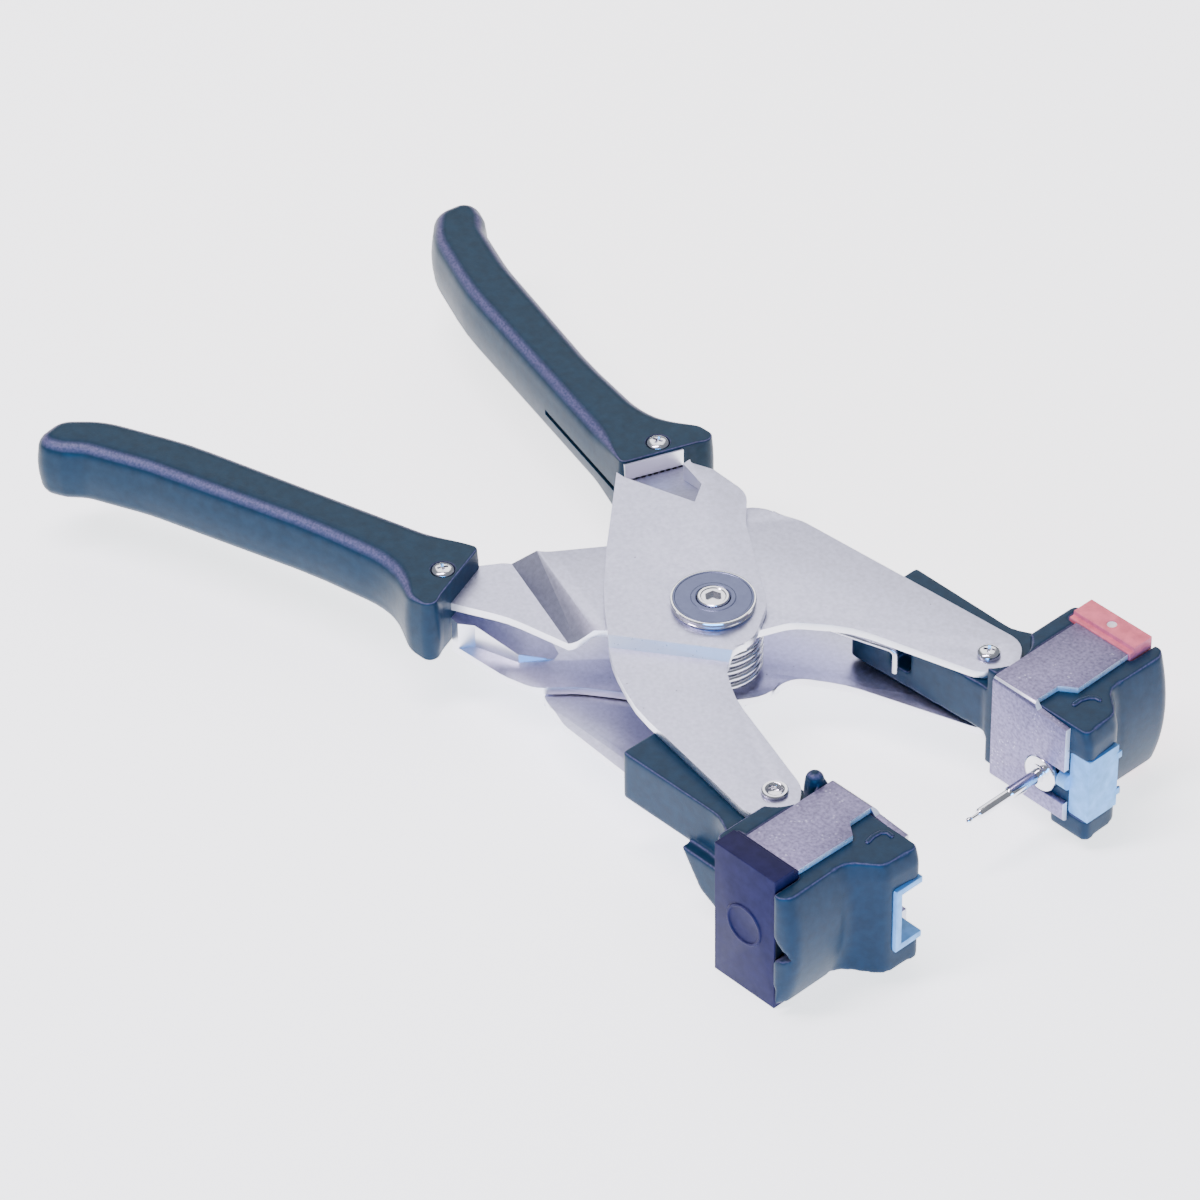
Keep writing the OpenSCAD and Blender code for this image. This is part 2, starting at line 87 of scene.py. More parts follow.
class Finish:
    """A procedural material: mottled colour, uneven roughness and fine relief, all in object space."""

    def __init__(self, name, rgb, rough, metallic=0.0, specular=0.5):
        self.material = bpy.data.materials.new(name)
        self.material.use_nodes = True
        self.tree = self.material.node_tree
        self.shader = self.tree.nodes["Principled BSDF"]
        self.rgb = rgb
        self.shader.inputs["Base Color"].default_value = (*rgb, 1)
        self.shader.inputs["Roughness"].default_value = rough
        self.shader.inputs["Metallic"].default_value = metallic
        self.shader.inputs["Specular IOR Level"].default_value = specular
        self.coords = self.tree.nodes.new("ShaderNodeTexCoord").outputs["Object"]
        self.base = self.relief = None

    def add(self, kind, **values):
        node = self.tree.nodes.new(kind)
        for key, value in values.items():
            setattr(node, key, value)
        return node

    def link(self, source, target):
        self.tree.links.new(source, target)

    def noise(self, scale, detail=3.0):
        texture = self.add("ShaderNodeTexNoise")
        texture.inputs["Scale"].default_value = scale
        texture.inputs["Detail"].default_value = detail
        self.link(self.coords, texture.inputs["Vector"])
        return texture.outputs["Fac"]

    def ramp(self, source, stops):
        """A colour ramp over source, from (place, colour) stops."""
        node = self.add("ShaderNodeValToRGB")
        elements = node.color_ramp.elements
        while len(elements) < len(stops):
            elements.new(0.5)
        for element, (place, rgb) in zip(elements, stops):
            element.position = place
            element.color = (*rgb, 1)
        self.link(source, node.inputs["Fac"])
        return node.outputs["Color"]

    def times(self, first, second):
        both = self.add("ShaderNodeMath", operation="MULTIPLY")
        self.link(first, both.inputs[0])
        self.link(second, both.inputs[1])
        return both.outputs["Value"]

    def mottle(self, scale, amount):
        """Soft clouds, amount lighter and darker than the plain colour. They are the base colour
        that the other colours go over, so this comes first."""
        dark = [c * (1 - amount) for c in self.rgb]
        light = [min(1.0, c * (1 + amount)) for c in self.rgb]
        self.base = self.ramp(self.noise(scale, 4.0), [(0.3, dark), (0.7, light)])
        self.link(self.base, self.shader.inputs["Base Color"])

    def specks(self, scale, reach, rgb, share):
        """Small separate spots of another colour, on about share of the surface."""
        cells = self.add("ShaderNodeTexVoronoi")
        cells.inputs["Scale"].default_value = scale
        self.link(self.coords, cells.inputs["Vector"])
        spot = self.ramp(cells.outputs["Distance"], [(reach, WHITE), (reach * 1.6, BLACK)])
        chosen = self.ramp(self.noise(scale * 0.23, 2.0), [(1 - share, BLACK), (1 - share + 0.06, WHITE)])
        self.blend(self.times(spot, chosen), rgb)

    def tilt(self):
        """0 where a face stands upright, 1 where it lies flat."""
        parts = self.add("ShaderNodeSeparateXYZ")
        self.link(self.add("ShaderNodeNewGeometry").outputs["Normal"], parts.inputs["Vector"])
        size = self.add("ShaderNodeMath", operation="ABSOLUTE")
        self.link(parts.outputs["Z"], size.inputs[0])
        return size.outputs["Value"]

    def blend(self, share, rgb):
        """rgb over the base colour, as strong as share."""
        mix = self.add("ShaderNodeMix", data_type="RGBA")
        mix.inputs["B"].default_value = (*rgb, 1)
        self.link(share, mix.inputs["Factor"])
        self.link(self.base, mix.inputs["A"])
        self.base = mix.outputs["Result"]
        self.link(self.base, self.shader.inputs["Base Color"])

    def bright_edges_with_shade_line(self, bright_edge_rgb, corner_shade_rgb):
        """Bright upright faces, such as a sheet's cut edges, partly the bare edge's own paler colour and
        partly a painted highlight, with a dark line of painted shade along their corners.
        """
        self.blend(self.ramp(self.tilt(), [(0.2, WHITE), (0.3, BLACK)]), bright_edge_rgb)
        # The dark line along the bevel's corners is painted shade
        corner = [(0.2, BLACK), (0.28, WHITE), (0.44, WHITE), (0.53, BLACK)]
        self.blend(self.ramp(self.tilt(), corner), corner_shade_rgb)

    def painted_edge_highlight(self, rgb, most):
        """Painted highlight: a paler, grainy band on rounded edges, where a lamp's highlight would run."""
        grey = (most, most, most)
        band = self.ramp(self.tilt(), [(0.5, BLACK), (0.74, grey), (0.86, grey), (0.97, BLACK)])
        grain = self.ramp(self.noise(1700, 2.0), [(0.3, (0.45, 0.45, 0.45)), (0.7, WHITE)])
        self.blend(self.times(band, grain), rgb)

    def uneven_gloss(self, scale, low, high):
        spread = self.add("ShaderNodeMapRange")
        spread.inputs["To Min"].default_value = low
        spread.inputs["To Max"].default_value = high
        self.link(self.noise(scale, 5.0), spread.inputs["Value"])
        self.link(spread.outputs["Result"], self.shader.inputs["Roughness"])

    def bump(self, scale, strength, depth):
        """Relief, depth in millimetres, over any that was added before."""
        node = self.add("ShaderNodeBump")
        node.inputs["Strength"].default_value = strength
        node.inputs["Distance"].default_value = depth * MM
        self.link(self.noise(scale), node.inputs["Height"])
        if self.relief:
            self.link(self.relief, node.inputs["Normal"])
        self.relief = node.outputs["Normal"]
        self.link(self.relief, self.shader.inputs["Normal"])


def bright_metal(name, rgb, rough, grain=0.1, metallic=1.0):
    finish = Finish(name, rgb, rough, metallic)
    finish.mottle(260, 0.05)
    finish.uneven_gloss(900, rough * 0.7, rough * 1.3)
    finish.bump(2600, grain, 0.05)
    return finish.material


def moulded_plastic(name, rgb, rough, spark=0.35, highlight_strength=0.0, specular=0.16):
    """Fine spark-eroded mould texture over a slightly cloudy colour."""
    finish = Finish(name, rgb, rough, specular=specular)
    finish.mottle(420, 0.16)
    # A pale band on the rounded edges: a painted highlight
    if highlight_strength:
        finish.painted_edge_highlight(PAINTED_HIGHLIGHT_RGB, highlight_strength)
    finish.uneven_gloss(700, rough * 0.85, rough * 1.15)
    finish.bump(3200, spark, 0.06)
    finish.bump(160, 0.1, 0.3)
    return finish.material


def zinc_sheet():
    """Zinc-plated plate: a faint spangle, dark specks and bright cut edges, partly a painted highlight, with
    painted shade along their corners.
    """
    finish = Finish("zinc_sheet", (0.57, 0.57, 0.73), 0.36, metallic=1.0)
    finish.mottle(900, 0.10)
    finish.specks(330, 0.05, (0.25, 0.25, 0.34), 0.42)
    # Bright cut edges, partly a painted highlight, with a painted shade line at their corners
    finish.bright_edges_with_shade_line((0.93, 0.93, 0.98), (0.06, 0.07, 0.15))
    finish.uneven_gloss(1500, 0.30, 0.46)
    finish.bump(2400, 0.16, 0.05)
    finish.bump(90, 0.08, 0.3)
    return finish.material


def saddle_sheet():
    """Darker, coarser plated sheet with pale specks."""
    finish = Finish("saddle_sheet", (0.235, 0.21, 0.345), 0.42, metallic=0.85)
    finish.mottle(1300, 0.30)
    finish.specks(1100, 0.2, (0.44, 0.42, 0.58), 0.42)
    finish.uneven_gloss(900, 0.32, 0.52)
    finish.bump(2200, 0.3, 0.06)
    return finish.material


ZINC = zinc_sheet()
SADDLE = saddle_sheet()
# The last number of the grip and head plastics sets the strength of their painted edge highlight
GRIP = moulded_plastic("grip_plastic", (0.006, 0.028, 0.052), 0.36, 0.35, 0.75)
HEAD = moulded_plastic("head_plastic", (0.005, 0.027, 0.056), 0.34, 0.35, 0.6)
PINK = moulded_plastic("pink_plastic", (0.80, 0.17, 0.22), 0.38, 0.12)
NAVY = moulded_plastic("navy_plastic", (0.016, 0.015, 0.056), 0.40, 0.12, specular=0.07)
GAUGE = moulded_plastic("gauge_plastic", (0.22, 0.46, 0.76), 0.36, 0.12)
# Bright colour for cut edges: partly the bare edge's own colour, partly a painted highlight
CUT_EDGE_AND_HIGHLIGHT = bright_metal("cut_edge_highlight", (0.93, 0.90, 0.94), 0.3, metallic=0.35)
DISC = bright_metal("disc_paint", (0.13, 0.145, 0.24), 0.36)
PLATED = bright_metal("plated_fastener", (0.80, 0.80, 0.85), 0.16, 0.04)
CHROME = bright_metal("polished_tool", (0.86, 0.86, 0.90), 0.10, 0.02)
WIRE = bright_metal("spring_wire", (0.62, 0.62, 0.68), 0.24, 0.05)
SHIM = moulded_plastic("shim_plastic", (0.78, 0.76, 0.68), 0.4, 0.1)
# Near-black colour for pieces that stand for shade in gaps, grooves and hollows
PAINTED_SHADE = moulded_plastic("recess_shade", (0.008, 0.010, 0.014), 0.6, 0.1)
DIMPLE = moulded_plastic("dimple_white", (0.85, 0.80, 0.80), 0.35, 0.1)


# ---------------------------------------------------------------- mesh helpers


def smoothstep(low, high, x):
    t = max(0.0, min(1.0, (x - low) / (high - low)))
    return t * t * (3 - 2 * t)


def rounded(points):
    """Outline from (x, y, corner radius) points, with every corner turned into a short arc."""
    out = []
    n = len(points)
    for i, (x, y, r) in enumerate(points):
        p = Vector((x, y))
        if not r:
            out.append(p)
            continue
        to_last = (Vector(points[i - 1][:2]) - p).normalized()
        to_next = (Vector(points[(i + 1) % n][:2]) - p).normalized()
        half = acos(max(-1, min(1, to_last.dot(to_next)))) / 2
        centre = p + (to_last + to_next).normalized() * r / sin(half)
        start = p + to_last * r / tan(half) - centre
        end = p + to_next * r / tan(half) - centre
        turn = start.cross(end)
        sweep = atan2(turn, start.dot(end))
        steps = max(1, ceil(abs(sweep) / radians(6)))
        first = atan2(start.y, start.x)
        for k in range(steps + 1):
            a = first + sweep * k / steps
            out.append(centre + Vector((cos(a), sin(a))) * r)
    return out


def dense(outline, longest):
    """The closed outline with no side longer than longest."""
    out = []
    for i, p in enumerate(outline):
        q = outline[(i + 1) % len(outline)]
        steps = max(1, ceil((q - p).length / longest))
        out += [p.lerp(q, k / steps) for k in range(steps)]
    return out


def skin(rings, ends=True):
    """Quads between rings of equally many points, in the pivot frame, with flat ends."""
    bm = bmesh.new()
    rows = [[bm.verts.new(at(*p)) for p in ring] for ring in rings]
    count = len(rows[0])
    for low, high in zip(rows, rows[1:]):
        for i in range(count):
            j = (i + 1) % count
            bm.faces.new((low[i], low[j], high[j], high[i]))
    if ends:
        bm.faces.new(rows[0][::-1])
        bm.faces.new(rows[-1])
    return bm


def lathe(centre, axis, profile, segments, hollow=False):
    """Solid of revolution. profile lists (distance along axis, radius) from one end to the other,
    or the whole closed section of a ring if it is hollow."""
    smallest_radius = 0.002
    axis = Vector(axis).normalized()
    side = axis.orthogonal().normalized()
    up = axis.cross(side)
    start = Vector(centre)
    rings = []
    for along, radius in profile:
        ring = []
        for k in range(segments):
            a = tau * k / segments
            ring.append(start + axis * along + (side * cos(a) + up * sin(a)) * max(radius, smallest_radius))
        rings.append(ring)
    if hollow:
        bm = skin(rings + rings[:1], ends=False)
        bmesh.ops.remove_doubles(bm, verts=bm.verts, dist=1e-7)
        return bm
    return skin(rings)


def prism(outline, low, high):
    return skin([[(p[0], p[1], z) for p in outline] for z in (low, high)])


def block(low, high):
    (a, b, c), (d, e, f) = low, high
    return prism([(a, b), (d, b), (d, e), (a, e)], c, f)


def polygon(u, v, radius, sides, phase=0.0):
    angles = [tau * k / sides + phase for k in range(sides)]
    return [(u + radius * cos(a), v + radius * sin(a)) for a in angles]


def sweep(path, radius):
    """Round wire along path, with domed ends."""
    sides = 14
    rings = []
    points = [Vector(p) for p in path]
    side = None
    for i, p in enumerate(points):
        along = (points[min(i + 1, len(points) - 1)] - points[max(i - 1, 0)]).normalized()
        if side is None:
            side = along.orthogonal().normalized()
        side = (side - along * side.dot(along)).normalized()
        up = side.cross(along)
        angles = [tau * k / sides for k in range(sides)]
        rings.append([p + (side * cos(a) + up * sin(a)) * radius for a in angles])

    def dome(end, before, ring, stages):
        """Smaller copies of the end's ring, each (share of the radius further out, scale)."""
        out = (end - before).normalized()
        return [[end + out * radius * ahead + (q - end) * scale for q in ring] for ahead, scale in stages]

    nose = dome(points[0], points[1], rings[0], [(0.5, 0.55), (0, 0.85)])
    tail = dome(points[-1], points[-2], rings[-1], [(0, 0.85), (0.5, 0.55)])
    return skin(nose + rings + tail)


def pillow(outline, low, high, fillet):
    """Moulded bar: outline swept from low to high, its long edges filleted by fillet(point) and its
    sides crowned."""
    crown, steps = 0.4, 7
    count = len(outline)
    inward = []
    for i, p in enumerate(outline):
        before = (p - outline[i - 1]).normalized()
        after = (outline[(i + 1) % count] - p).normalized()
        miter = (before + after).normalized()
        normal = Vector((-miter.y, miter.x))
        stretch = 1 / max(0.5, sqrt((1 + before.dot(after)) / 2))
        inward.append(normal * stretch)
    if sum(p.cross(outline[(i + 1) % count]) for i, p in enumerate(outline)) < 0:
        inward = [-n for n in inward]
    radii = [fillet(p) for p in outline]
    rings = []

    def ring(inset, height):
        row = []
        for i, p in enumerate(outline):
            q = p + inward[i] * inset(radii[i])
            row.append((q.x, q.y, height(radii[i])))
        rings.append(row)

    for k in range(steps + 1):
        a = pi / 2 * k / steps
        ring(lambda r: r * (1 - sin(a)) + crown, lambda r: low + r * (1 - cos(a)))
    for t in (-0.6, -0.2, 0.2, 0.6):
        middle = (low + high) / 2
        ring(lambda r: crown * t * t, lambda r: middle + t * ((high - low) / 2 - r))
    for k in range(steps, -1, -1):
        a = pi / 2 * k / steps
        ring(lambda r: r * (1 - sin(a)) + crown, lambda r: high - r * (1 - cos(a)))
    return skin(rings)


def as_object(bm, name="work"):
    """The bmesh as an object of the scene. bm is freed."""
    mesh = bpy.data.meshes.new(name)
    bm.to_mesh(mesh)
    bm.free()
    obj = bpy.data.objects.new(name, mesh)
    scene.collection.objects.link(obj)
    return obj


def carved(bm, cutters):
    """bm with the cutters' volumes taken away."""
    for part in (bm, *cutters):
        bmesh.ops.recalc_face_normals(part, faces=part.faces)
    body = as_object(bm)
    tools = [as_object(cutter) for cutter in cutters]
    for tool in tools:
        change = body.modifiers.new("cut", "BOOLEAN")
        change.operation = "DIFFERENCE"
        change.solver = "EXACT"
        change.object = tool
    out = evaluated(body)
    for tool in tools:
        bpy.data.objects.remove(tool)
    return out


def evaluated(obj):
    """A bmesh of obj with its modifiers applied. obj is removed."""
    bpy.context.view_layer.update()
    mesh = bpy.data.meshes.new_from_object(obj.evaluated_get(bpy.context.evaluated_depsgraph_get()))
    bpy.data.objects.remove(obj)
    out = bmesh.new()
    out.from_mesh(mesh)
    bpy.data.meshes.remove(mesh)
    return out


def placed(name, bm, body, slot, material, replaced=(), crease=32, soft=None):
    """Makes the piece in material: it rides on body and stands for the replaced CAD nodes. slot is not used.
    Edges sharper than crease degrees stay sharp, apart from those that soft(edge) accepts."""
    bmesh.ops.recalc_face_normals(bm, faces=bm.faces)
    for face in bm.faces:
        face.smooth = True
        face.material_index = 0
    for edge in bm.edges:
        edge.smooth = edge.calc_face_angle(0) < radians(crease) or bool(soft and soft(edge))
    obj = as_object(bm, name)
    obj.data.materials.append(material)
    if body:
        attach(obj, body)
    if replaced:
        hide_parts(*replaced)
    return obj


def brightened(obj, chosen):
    """Gives the faces that chosen(face) accepts the bright cut-edge colour, partly a painted highlight."""
    obj.data.materials.append(CUT_EDGE_AND_HIGHLIGHT)
    for face in obj.data.polygons:
        if chosen(face):
            face.material_index = 1


def from_cad(node):
    bm = bmesh.new()
    bm.from_mesh(nodes[node].data)
    bmesh.ops.remove_doubles(bm, verts=bm.verts, dist=1e-6)
    return bm


def bevelled(bm, width, segments, angle=30, chosen=None):
    """Rounds the sharp edges, or those of them that chosen(edge) accepts."""
    edges = [
        e for e in bm.edges
        if len(e.link_faces) == 2 and e.calc_face_angle(0) > radians(angle) and (not chosen or chosen(e))
    ]
    bmesh.ops.bevel(
        bm, geom=edges, offset=width * MM, offset_type="OFFSET", segments=segments,
        profile=0.5, affect="EDGES", clamp_overlap=True,
    )
    return bm


def flattened(bm):
    """Joins the triangles of each flat face."""
    bmesh.ops.dissolve_limit(
        bm, angle_limit=radians(0.8), use_dissolve_boundaries=False, verts=bm.verts, edges=bm.edges
    )
    return bm


def refined(node, body, slot, material, width, segments=2):
    """A CAD node with its sharp edges broken."""
    bm = bevelled(flattened(from_cad(node)), width, segments)
    placed(node + "_finished", bm, body, slot, material, (node,))


def moulded(node, reshape, cutters):
    """A CAD node as a moulding: cut, rounded all over, then shaped by reshape(u, v, z)."""
    voxel, passes = 0.5, 7
    obj = as_object(carved(from_cad(node), cutters))
    grid = obj.modifiers.new("grid", "REMESH")
    grid.mode = "VOXEL"
    grid.voxel_size = voxel * MM
    soften = obj.modifiers.new("soften", "SMOOTH")
    soften.factor = 0.5
    soften.iterations = passes
    out = evaluated(obj)
    for vert in out.verts:
        local = (vert.co - PIVOT) / MM
        vert.co = at(*reshape(*local))
    return out


# ---------------------------------------------------------------- grips

GRIP_FRONT = Vector((-54.4, 22.4))
GRIP_FRONT_ALONG = Vector((cos(radians(69.7)), sin(radians(69.7))))
GRIP_FORWARD = Vector((GRIP_FRONT_ALONG.y, -GRIP_FRONT_ALONG.x))
GRIP_TOP, GRIP_LOW = -3.9, -21.0
GRIP_SCREW = (-54.4, 34.6)
GRIP_OUTLINE = [
    (-54.4, 22.4, 2), (-133, 43.2, 90), (-155, 52.4, 24), (-162.9, 60.8, 7),
    (-160.9, 73.2, 5), (-152, 69.2, 5), (-148, 65.7, 10), (-133, 59.5, 60), (-89, 46.8, 90), (-65, 42.2, 24),
    (-53, 47.6, 6), (-44.6, 46.4, 3), (-47.6, 40.8, 4),
]
GROOVE_INNER, GROOVE_OUTER = (-91.4, 32.2), (-57.8, 23.4)
GROOVE_LOW, GROOVE_HIGH = -14.7, -13.1
TANG_TOP = -9.5


def grip(name, body, side):
    """Handle with a screw counterbore above, a nut pocket below and a groove in its inner side.
    side is +1 for the handle at +v and -1 for the one at -v."""
    def flip(points):
        return [Vector((p[0], side * p[1])) for p in points]

    def fillet(p):
        """Almost square at the front, where the plates come out, and full 16 mm behind it."""
        behind = (GRIP_FRONT - Vector((p.x, side * p.y))).dot(GRIP_FORWARD)
        return 0.55 + 3.6 * smoothstep(0.4, 16.4, behind)

    bm = pillow(flip(dense(rounded(GRIP_OUTLINE), 1.6)), GRIP_LOW, GRIP_TOP, fillet)
    (u, v), inner, outer = flip([GRIP_SCREW, GROOVE_INNER, GROOVE_OUTER])
    along = (outer - inner).normalized()
    across = Vector((-along.y, along.x)) * 0.9
    groove = [inner + across, inner - across, outer - across, outer + across]
    counterbore = [(0, 2.95), (0.8, 2.95), (1.2, 3.3), (2, 3.3)]
    cutters = [
        lathe((u, v, GRIP_TOP - 1), UP, counterbore, 72),
        prism(polygon(u, v, 3.25, 6), GRIP_LOW - 1, GRIP_LOW + 2.4),
        prism(groove, GROOVE_LOW, GROOVE_HIGH),
    ]
    placed(name + "_moulding", carved(bm, cutters), body, "grip_plastic", GRIP, (name,))
    # A thin dark slab in the groove: painted shade
    near, far = across.normalized() * side * 0.7, across.normalized() * side * 1.1
    groove_shade_outline = [inner + near, outer + near, outer + far, inner + far]
    floor = prism(groove_shade_outline, GROOVE_LOW - 0.1, GROOVE_HIGH + 0.1)
    placed(name + "_groove_shade", floor, body, "grip_plastic", PAINTED_SHADE)


grip("grip_a", "arm_a", 1)
grip("grip_b", "arm_b", -1)


def painted_grip_reflection():
    """Painted reflection on the front of grip A, seen over the pocket of its plate: a slab in the plates'
    zinc finish, on a row of dark dashes of painted shade.
    """
    def slab(start, end, behind, ahead, low, high):
        """Upright slab along the grip's front, from behind it to ahead of it."""
        back, out = GRIP_FORWARD * behind, GRIP_FORWARD * ahead
        first, last = GRIP_FRONT + GRIP_FRONT_ALONG * start, GRIP_FRONT + GRIP_FRONT_ALONG * end
        return prism([first + back, first + out, last + out, last + back], low, high)

    # A zinc slab standing for the reflection of the pocket's bright metal
    face = bevelled(slab(1.0, 16.2, -0.6, 0.18, TANG_TOP + 0.35, GRIP_TOP - 0.7), 0.12, 2)
    placed("grip_a_front_reflection", face, "arm_a", "plate_steel", ZINC)
    # Dark dashes of painted shade along the slab's foot
    for k in range(9):
        start = 2.1 + 1.6 * k
        shade_dash = slab(start, start + 0.9, 0.09, 0.468, TANG_TOP + 0.02, TANG_TOP + 0.34)
        placed(f"grip_a_front_shade_dash_{k}", shade_dash, "arm_a", "plate_steel", PAINTED_SHADE)


painted_grip_reflection()


# ---------------------------------------------------------------- fasteners


def cross_screw(name, body, node, u, v, seat, shank_r, shank_end, turn, head_r=2.7, head_h=1.7):
    """Pan head screw with a tapered cross recess."""
    shank_foot = shank_end - seat
    profile = [
        (shank_foot, shank_r - 0.3), (shank_foot + 0.4, shank_r), (-0.01, shank_r),
        (0, head_r - 0.15), (0.15, head_r),
    ]
    for k in range(9):
        a = pi / 2 * k / 8
        profile.append((head_h * (0.42 + 0.58 * sin(a)), head_r * (0.14 + 0.86 * cos(a))))
    top = seat + head_h
    recess_depth, foot_scale = 1.25, 0.45
    half_length, half_width = head_r * 0.56, head_r * 0.13
    cutters = []
    for angle in (radians(turn), radians(turn + 90)):
        ahead, aside = Vector((cos(angle), sin(angle))), Vector((-sin(angle), cos(angle)))
        rings = []
        for z, scale in ((top - recess_depth, foot_scale), (top + 0.3, 1.0)):
            ring = []
            for a, b in ((-1, -1), (1, -1), (1, 1), (-1, 1)):
                corner = Vector((u, v)) + ahead * a * half_length * scale + aside * b * half_width
                ring.append((*corner, z))
            rings.append(ring)
        cutters.append(skin(rings))
    placed(name, carved(lathe((u, v, seat), UP, profile, 48), cutters), body, "fastener", PLATED, (node,))


for letter, side, turn in (("a", 1, 20), ("b", -1, 62)):
    cross_screw(
        f"grip_{letter}_pan_screw", f"arm_{letter}", f"grip_{letter}_screw",
        GRIP_SCREW[0], side * GRIP_SCREW[1], GRIP_TOP - 1, 1.5, GRIP_LOW + 0.1, turn,
    )
    refined(f"grip_{letter}_nut", f"arm_{letter}", "fastener", PLATED, 0.15)

HINGE_U, HINGE_V = 54.8, 34.3
PLATE_TOP, PLATE_LOW = -4.6, -23.6
cross_screw(
    "pin_head_pan_screw", "arm_b", "pin_head_hinge_screw",
    HINGE_U, HINGE_V, PLATE_TOP, 2.0, PLATE_LOW - 3.5, 35,
)
refined("pin_head_hinge_nut", "arm_b", "fastener", PLATED, 0.2)

rivet = [
    (-20.0, 2.2), (-20.0, 2.9), (-19.75, 3.1), (-19.2, 3.1), (-19.0, 2.0), (-0.01, 2.0), (0, 2.95),
    (0.25, 3.1), (0.7, 3.05), (0.95, 2.8), (1.0, 2.45), (0.9, 2.1), (0.55, 1.75), (0.1, 1.6), (-0.35, 1.5),
    (-0.4, 0.2),
]
placed(
    "die_head_tubular_rivet", lathe((HINGE_U, -HINGE_V, PLATE_TOP), UP, rivet, 64),
    "arm_a", "fastener", PLATED, ("die_head_hinge_rivet",),
)


# ---------------------------------------------------------------- pivot

disc = [
    (-0.6, 3.95), (-0.6, 9.55), (-0.16, 9.55), (-0.02, 9.4), (0, 9.2), (-0.02, 9.0), (-0.12, 8.85),
    (-0.12, 5.3), (-0.02, 5.1), (0, 4.9), (0, 4.2), (-0.2, 3.95),
]
rim = [
    (-1.2, 9.0), (-1.2, 9.8), (-1.1, 10.0), (-0.4, 10.0), (-0.2, 9.9), (-0.12, 9.7), (-0.12, 9.5),
    (-0.5, 9.5),
]
washer = [
    (-2.1, 2.6), (-2.1, 9.5), (-1.95, 9.75), (-1.8, 9.9), (-1.5, 9.9), (-1.35, 9.7), (-1.3, 9.4),
    (-1.3, 2.6),
]
# A thin dark ring of painted shade in the gap between the disc's rim and the washer
seam_shade_ring = [(-1.32, 8.9), (-1.32, 9.62), (-1.16, 9.62), (-1.16, 8.9)]
under = [(-27.6, 2.6), (-27.6, 9.6), (-27.35, 9.95), (-26.4, 10.0), (-26.15, 9.8), (-26.1, 9.5), (-26.1, 2.6)]
for name, section, segments, slot, material, replaced in (
    ("pivot_cover_disc", disc, 128, "cover_disc", DISC, ("pivot_top_disc",)),
    ("pivot_disc_rim", rim, 128, "cover_disc", CHROME, ()),
    ("pivot_bright_washer", washer, 128, "fastener", CHROME, ("pivot_top_washer",)),
    ("pivot_disc_shade_ring", seam_shade_ring, 96, "cover_disc", PAINTED_SHADE, ()),
    ("pivot_under_disc", under, 96, "cover_disc", DISC, ("pivot_bottom_disc",)),
):
    placed(name, lathe((0, 0, 0), UP, section, segments, True), "arm_b", slot, material, replaced, 24)

cap_screw = [
    (-31.6, 2.1), (-31.2, 2.5), (-1.21, 2.5), (-1.2, 3.6), (-1.1, 3.8), (0.0, 3.8), (0.2, 3.72), (0.3, 3.5),
    (0.3, 3.05), (0.1, 2.8), (0.1, 0.1),
]
hexagon = prism(polygon(0, 0, 2.1, 6, 0.35), -1.0, 1)
bolt = carved(lathe((0, 0, 0), UP, cap_screw, 96), [hexagon])
placed("pivot_cap_screw", bolt, "arm_b", "fastener", PLATED, ("pivot_bolt",), 24)
refined("pivot_nut", "arm_b", "fastener", PLATED, 0.3)


# ---------------------------------------------------------------- arm plates

# Arm B's ramp down to its grip: where its foot starts, the way it runs, and how wide it is
RAMP_FOOT, RAMP_DIRECTION, RAMP_RUN = (-50.4, -17), radians(-19), 4.9


def eased(bm, point, direction, reach):
    """Edge lines beside a fold, so that shading turns softly over reach on either side of it.
    Gives the test for the fold's own edges."""
    right = Vector((sin(direction), -cos(direction), 0))
    for step in (-reach, reach):
        geometry = bm.verts[:] + bm.edges[:] + bm.faces[:]
        beside = point + right * step * MM
        bmesh.ops.bisect_plane(bm, geom=geometry, plane_co=beside, plane_no=right, dist=1e-7)

    def on_fold(edge):
        level = min(abs(face.normal.z) for face in edge.link_faces) > 0.5
        return level and all(abs((v.co - point).dot(right)) < 0.03 * MM for v in edge.verts)

    return on_fold


def blanked_edge(edge):
    """Edges between a plate's flat faces and its cut outline, clear of the folded ends in the grips."""
    steep = sorted(abs(face.normal.z) for face in edge.link_faces)
    return steep[0] < 0.1 and steep[1] > 0.3 and min((v.co.x - PIVOT.x) / MM for v in edge.verts) > -46


def jaw_step(face):
    """The slope down to the jaw, painted as bright as the cut edges: a painted highlight."""
    sloped = 0.15 < abs(face.normal.z) < 0.97 and face.area > 4 * MM * MM
    return sloped and face.center.x > PIVOT.x - 30 * MM


for arm, level in product("ab", ("top", "bottom")):
    node = f"arm_{arm}_{level}_plate"
    sheet = bevelled(flattened(from_cad(node)), 0.28, 3, 30, blanked_edge)
    soft = None
    if node == "arm_b_top_plate":
        # The ramp is creased at its foot and rolls over softly at its head
        run_u, run_v = -RAMP_RUN * sin(RAMP_DIRECTION), RAMP_RUN * cos(RAMP_DIRECTION)
        head = at(RAMP_FOOT[0] + run_u, RAMP_FOOT[1] + run_v, 0)
        soft = eased(sheet, head, RAMP_DIRECTION, 3.6)
    plate = placed(node + "_finished", sheet, f"arm_{arm}", "plate_steel", ZINC, (node,), 16, soft)
    # Arm A's slope down to the jaw takes the bright edge colour as a painted highlight
    if node == "arm_a_top_plate":
        brightened(plate, jaw_step)


# ---------------------------------------------------------------- torsion spring

WIRE_R, COIL_R, COIL_START, COIL_TURNS = 0.8, 10.9, 107.0, 5
SPRING_TOP, SPRING_LOW, LEG_TIP, LEG_DROP, LEG_BEND = -8.0, -20.2, (36.0, 23.2), 6.5, 1.8


